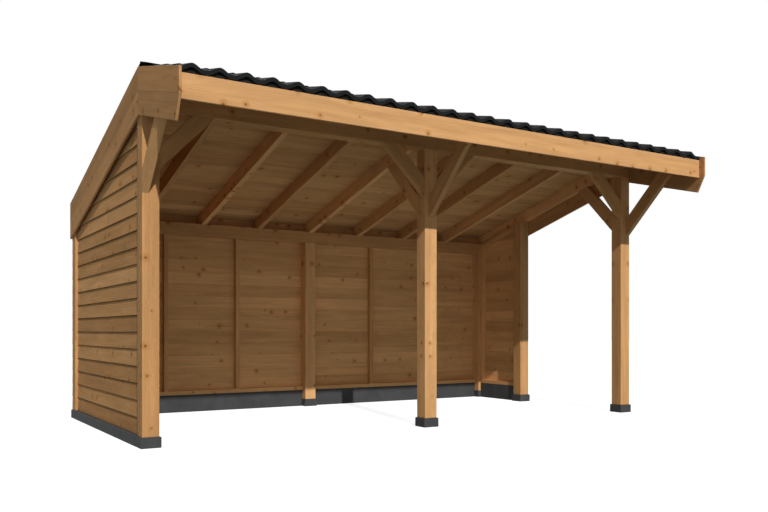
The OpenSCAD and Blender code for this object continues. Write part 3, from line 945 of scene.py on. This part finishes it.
def tile_sheet(bm, run, way, sizes):
    """A sheet of one slope, pressed in waves and rows of tiles, with a lip that
    is turned down at the eave."""
    stops = tile_stops(run, sizes.tile_row)
    columns = int(round(WIDTH / WAVE_PITCH * WAVE_STEPS))
    bmesh.ops.create_grid(bm, x_segments=columns, y_segments=len(stops) - 1, size=0.5)
    fall = Vector((0.0, way * math.cos(SLOPE), -math.sin(SLOPE)))
    lift = Vector((0.0, way * math.sin(SLOPE), math.cos(SLOPE)))
    top = Vector((0.0, RIDGE, crown(RIDGE)))
    reach = SHEET_TALL - WAVE_TALL - SKIN
    flatten = (sizes.tile_step - reach) / WAVE_TALL
    for v in bm.verts:
        x = (v.co.x + 0.5) * WIDTH
        place, share = stops[int(round((v.co.y + 0.5) * (len(stops) - 1)))]
        height = tile_wave(x)
        if share < 0.0:
            height += SKIN - SHEET_LIP
        else:
            height = height * (1.0 - flatten * (1.0 - share)) + share * reach
        v.co = top + ACROSS * x + fall * place + lift * height
    bmesh.ops.recalc_face_normals(bm, faces=bm.faces)
    bmesh.ops.solidify(bm, geom=bm.faces[:], thickness=SKIN)


def eave_shade_strip(bm, way, tall):
    """A black strip on the roof boards behind the lip: painted shade that darkens the battens' ends under the
    waves.
    """
    back = (RAFTER_FRONT if way < 0.0 else DEPTH) + way * STRIP_GAP
    front = back + way * STRIP_THICK
    bottom = deck_top(back + way * TRIM) + STRIP_GAP
    top = bottom + tall
    prism(bm, side_outline([(front, bottom), (front, top), (back, top), (back, bottom)], 0.0), WIDTH * ACROSS)


def cap_outline(crest):
    """End outline of the ridge cap: two wings over the crests and a round roll."""
    def wing(off):
        return crest - RISE * abs(off) + CAP_GAP

    roll = []
    for degrees in range(0, 181, 30):
        turn = math.radians(degrees)
        roll.append((RIDGE - CAP_ROLL * math.cos(turn), CAP_PEAK - CAP_ROLL_TALL * (1.0 - math.sin(turn))))
    offs = (-CAP_HALF, -CAP_SHOULDER, CAP_SHOULDER, CAP_HALF)
    outer = [(RIDGE + off, wing(off) + CAP_THICK) for off in offs]
    inner = [(RIDGE + off, wing(off)) for off in (CAP_HALF, 0.0, -CAP_HALF)]
    return outer[:2] + roll + outer[2:] + inner


def ridge_filler(bm, crest):
    """A strip under the cap that closes the valleys between the two sheets."""
    low = crown(RIDGE) - FILLER_DROP
    side = crest - RISE * FILLER_HALF
    outline = [(RIDGE - FILLER_HALF, low), (RIDGE + FILLER_HALF, low), (RIDGE + FILLER_HALF, side),
               (RIDGE, crest), (RIDGE - FILLER_HALF, side)]
    prism(bm, side_outline(outline, FILLER_INSET), (WIDTH - 2 * FILLER_INSET) * ACROSS)


class SHED_OT_roof_sheets(bpy.types.Operator):
    """Presses the tile sheets of both slopes and folds the ridge cap"""
    bl_idname = "shed.roof_sheets"
    bl_label = "Tile sheets and ridge cap"

    def execute(self, context):
        sizes = context.scene.shed_sizes
        black = coated_steel("Matt black coated steel", tuple(context.scene.shed_colours.roof))
        runs = {"back_roof_sheet": ((DEPTH + TRIM + SHEET_PAST - RIDGE) * PLUMB, 1.0),
                "front_roof_sheet": ((RIDGE - FASCIA_FACE + SHEET_PAST) * PLUMB, -1.0)}
        for node, (run, way) in runs.items():
            bm = bmesh.new()
            tile_sheet(bm, run, way, sizes)
            eave_shade_strip(bm, way, sizes.eave_shade_strip)
            bmesh.ops.recalc_face_normals(bm, faces=bm.faces)
            place_piece(bm, node, black)
        bm = bmesh.new()
        crest = crown(RIDGE) + SHEET_TALL * PLUMB
        span = CAP_HIGH.x - CAP_LOW.x
        for k in range(CAP_LENGTHS):
            x0 = CAP_LOW.x + span * k / CAP_LENGTHS
            x1 = CAP_LOW.x + span * (k + 1) / CAP_LENGTHS
            if k < CAP_LENGTHS - 1:
                x1 += CAP_OVERLAP
            outline = [(y, z + CAP_LIFT * (k % 2)) for y, z in cap_outline(crest)]
            prism(bm, side_outline(outline, x0), (x1 - x0) * ACROSS)
        ridge_filler(bm, crest)
        bmesh.ops.recalc_face_normals(bm, faces=bm.faces)
        place_piece(bm, "ridge_cap", black)
        return {"FINISHED"}


def seen_rays(tree):
    """One for rays from the camera, in a gloss or through glass, else nought."""
    path = add(tree, "ShaderNodeLightPath")
    seen = add(tree, "ShaderNodeMath", {0: path.outputs["Is Camera Ray"], 1: path.outputs["Is Glossy Ray"]},
               operation="MAXIMUM")
    seen = add(tree, "ShaderNodeMath", {0: seen.outputs[0], 1: path.outputs["Is Transmission Ray"]},
               operation="MAXIMUM")
    return seen.outputs[0]


def pale_floor():
    """Matt floor paint that looks white to the eye and sends on less light."""
    material = bpy.data.materials.new("Pale floor")
    material.use_nodes = True
    tree = material.node_tree
    tree.nodes.clear()
    matt = add(tree, "ShaderNodeBsdfDiffuse", {"Color": (*linear("#95A1A2"), 1.0)})
    glow = add(tree, "ShaderNodeEmission", {"Color": WHITE, "Strength": FLOOR_GLOW})
    both = add(tree, "ShaderNodeAddShader", {0: matt.outputs[0], 1: glow.outputs[0]})
    mixed = add(tree, "ShaderNodeMixShader", {0: seen_rays(tree), 1: matt.outputs[0], 2: both.outputs[0]})
    add(tree, "ShaderNodeOutputMaterial", {"Surface": mixed.outputs[0]})
    return material


def studio_world():
    """A white background that gives only a little light."""
    world = bpy.data.worlds.new("Studio")
    world.use_nodes = True
    tree = world.node_tree
    tree.nodes.clear()
    sky = add(tree, "ShaderNodeBackground", {"Color": WHITE, "Strength": SKY_LIGHT})
    white = add(tree, "ShaderNodeBackground", {"Color": WHITE, "Strength": 1.0})
    mixed = add(tree, "ShaderNodeMixShader", {0: seen_rays(tree), 1: sky.outputs[0], 2: white.outputs[0]})
    add(tree, "ShaderNodeOutputWorld", {"Surface": mixed.outputs[0]})
    return world


def hang_lamp(scene, lamp, travel):
    """Puts a lamp in the scene so that its light travels that way."""
    light = bpy.data.objects.new(lamp.name, lamp)
    light.rotation_euler = Vector(travel).to_track_quat("-Z", "Y").to_euler()
    scene.collection.objects.link(light)
    return light


class SHED_OT_stage(bpy.types.Operator):
    """Lays a pale floor, lights it and sets the camera"""
    bl_idname = "shed.stage"
    bl_label = "Floor, light and camera"

    def execute(self, context):
        scene = context.scene
        scene.view_settings.view_transform = "Standard"
        bm = bmesh.new()
        bmesh.ops.create_grid(bm, x_segments=1, y_segments=1, size=FLOOR_HALF)
        mesh = bpy.data.meshes.new("Floor")
        bm.to_mesh(mesh)
        bm.free()
        mesh.materials.append(pale_floor())
        floor = bpy.data.objects.new("Floor", mesh)
        scene.collection.objects.link(floor)
        scene.world = studio_world()

        for name, strength, spread, travel in SUNS:
            sun = bpy.data.lights.new(name, "SUN")
            sun.energy = strength
            sun.angle = math.radians(spread)
            hang_lamp(scene, sun, travel)
        box = bpy.data.lights.new("Low softbox", "AREA")
        box.shape = "RECTANGLE"
        box.size = BOX_WIDE
        box.size_y = BOX_TALL
        box.energy = BOX_POWER
        low = hang_lamp(scene, box, BOX_AIM)
        low.location = HOME + BOX_PLACE
        low.visible_camera = False
        low.visible_glossy = False

        eye = bpy.data.cameras.new("Camera")
        eye.sensor_width = SENSOR_MM
        eye.lens = FOCAL_PIXELS / FRAME_PIXELS * SENSOR_MM
        eye.shift_y = SHIFT_PIXELS / FRAME_PIXELS
        eye.clip_end = FAR_CLIP
        camera = bpy.data.objects.new("Camera", eye)
        camera.location = HOME + EYE
        camera.rotation_euler = (math.radians(90.0), 0.0, HEADING)
        scene.collection.objects.link(camera)
        scene.camera = camera
        return {"FINISHED"}


class SHED_PT_build(bpy.types.Panel):
    """Buttons and values of the shed"""
    bl_label = "Shed"
    bl_idname = "SHED_PT_build"
    bl_space_type = "VIEW_3D"
    bl_region_type = "UI"
    bl_category = "Shed"

    def draw(self, context):
        for group in (context.scene.shed_sizes, context.scene.shed_colours):
            for key in group.__annotations__:
                self.layout.prop(group, key)
        for step in STEPS:
            self.layout.operator(step.bl_idname)


STEPS = (SHED_OT_concrete, SHED_OT_frame, SHED_OT_walls, SHED_OT_roof_timber, SHED_OT_roof_sheets,
         SHED_OT_stage)
CLASSES = (ShedSizes, ShedColours) + STEPS + (SHED_PT_build,)


def register():
    """Makes the classes and the scene's values known to Blender."""
    for item in CLASSES:
        bpy.utils.register_class(item)
    bpy.types.Scene.shed_sizes = PointerProperty(type=ShedSizes)
    bpy.types.Scene.shed_colours = PointerProperty(type=ShedColours)


def unregister():
    """Takes back what register did."""
    del bpy.types.Scene.shed_colours
    del bpy.types.Scene.shed_sizes
    for item in reversed(CLASSES):
        bpy.utils.unregister_class(item)


def main():
    register()
    bpy.ops.shed.concrete()
    bpy.ops.shed.frame()
    bpy.ops.shed.walls()
    bpy.ops.shed.roof_timber()
    bpy.ops.shed.roof_sheets()
    bpy.ops.shed.stage()


if __name__ == "__main__":
    main()
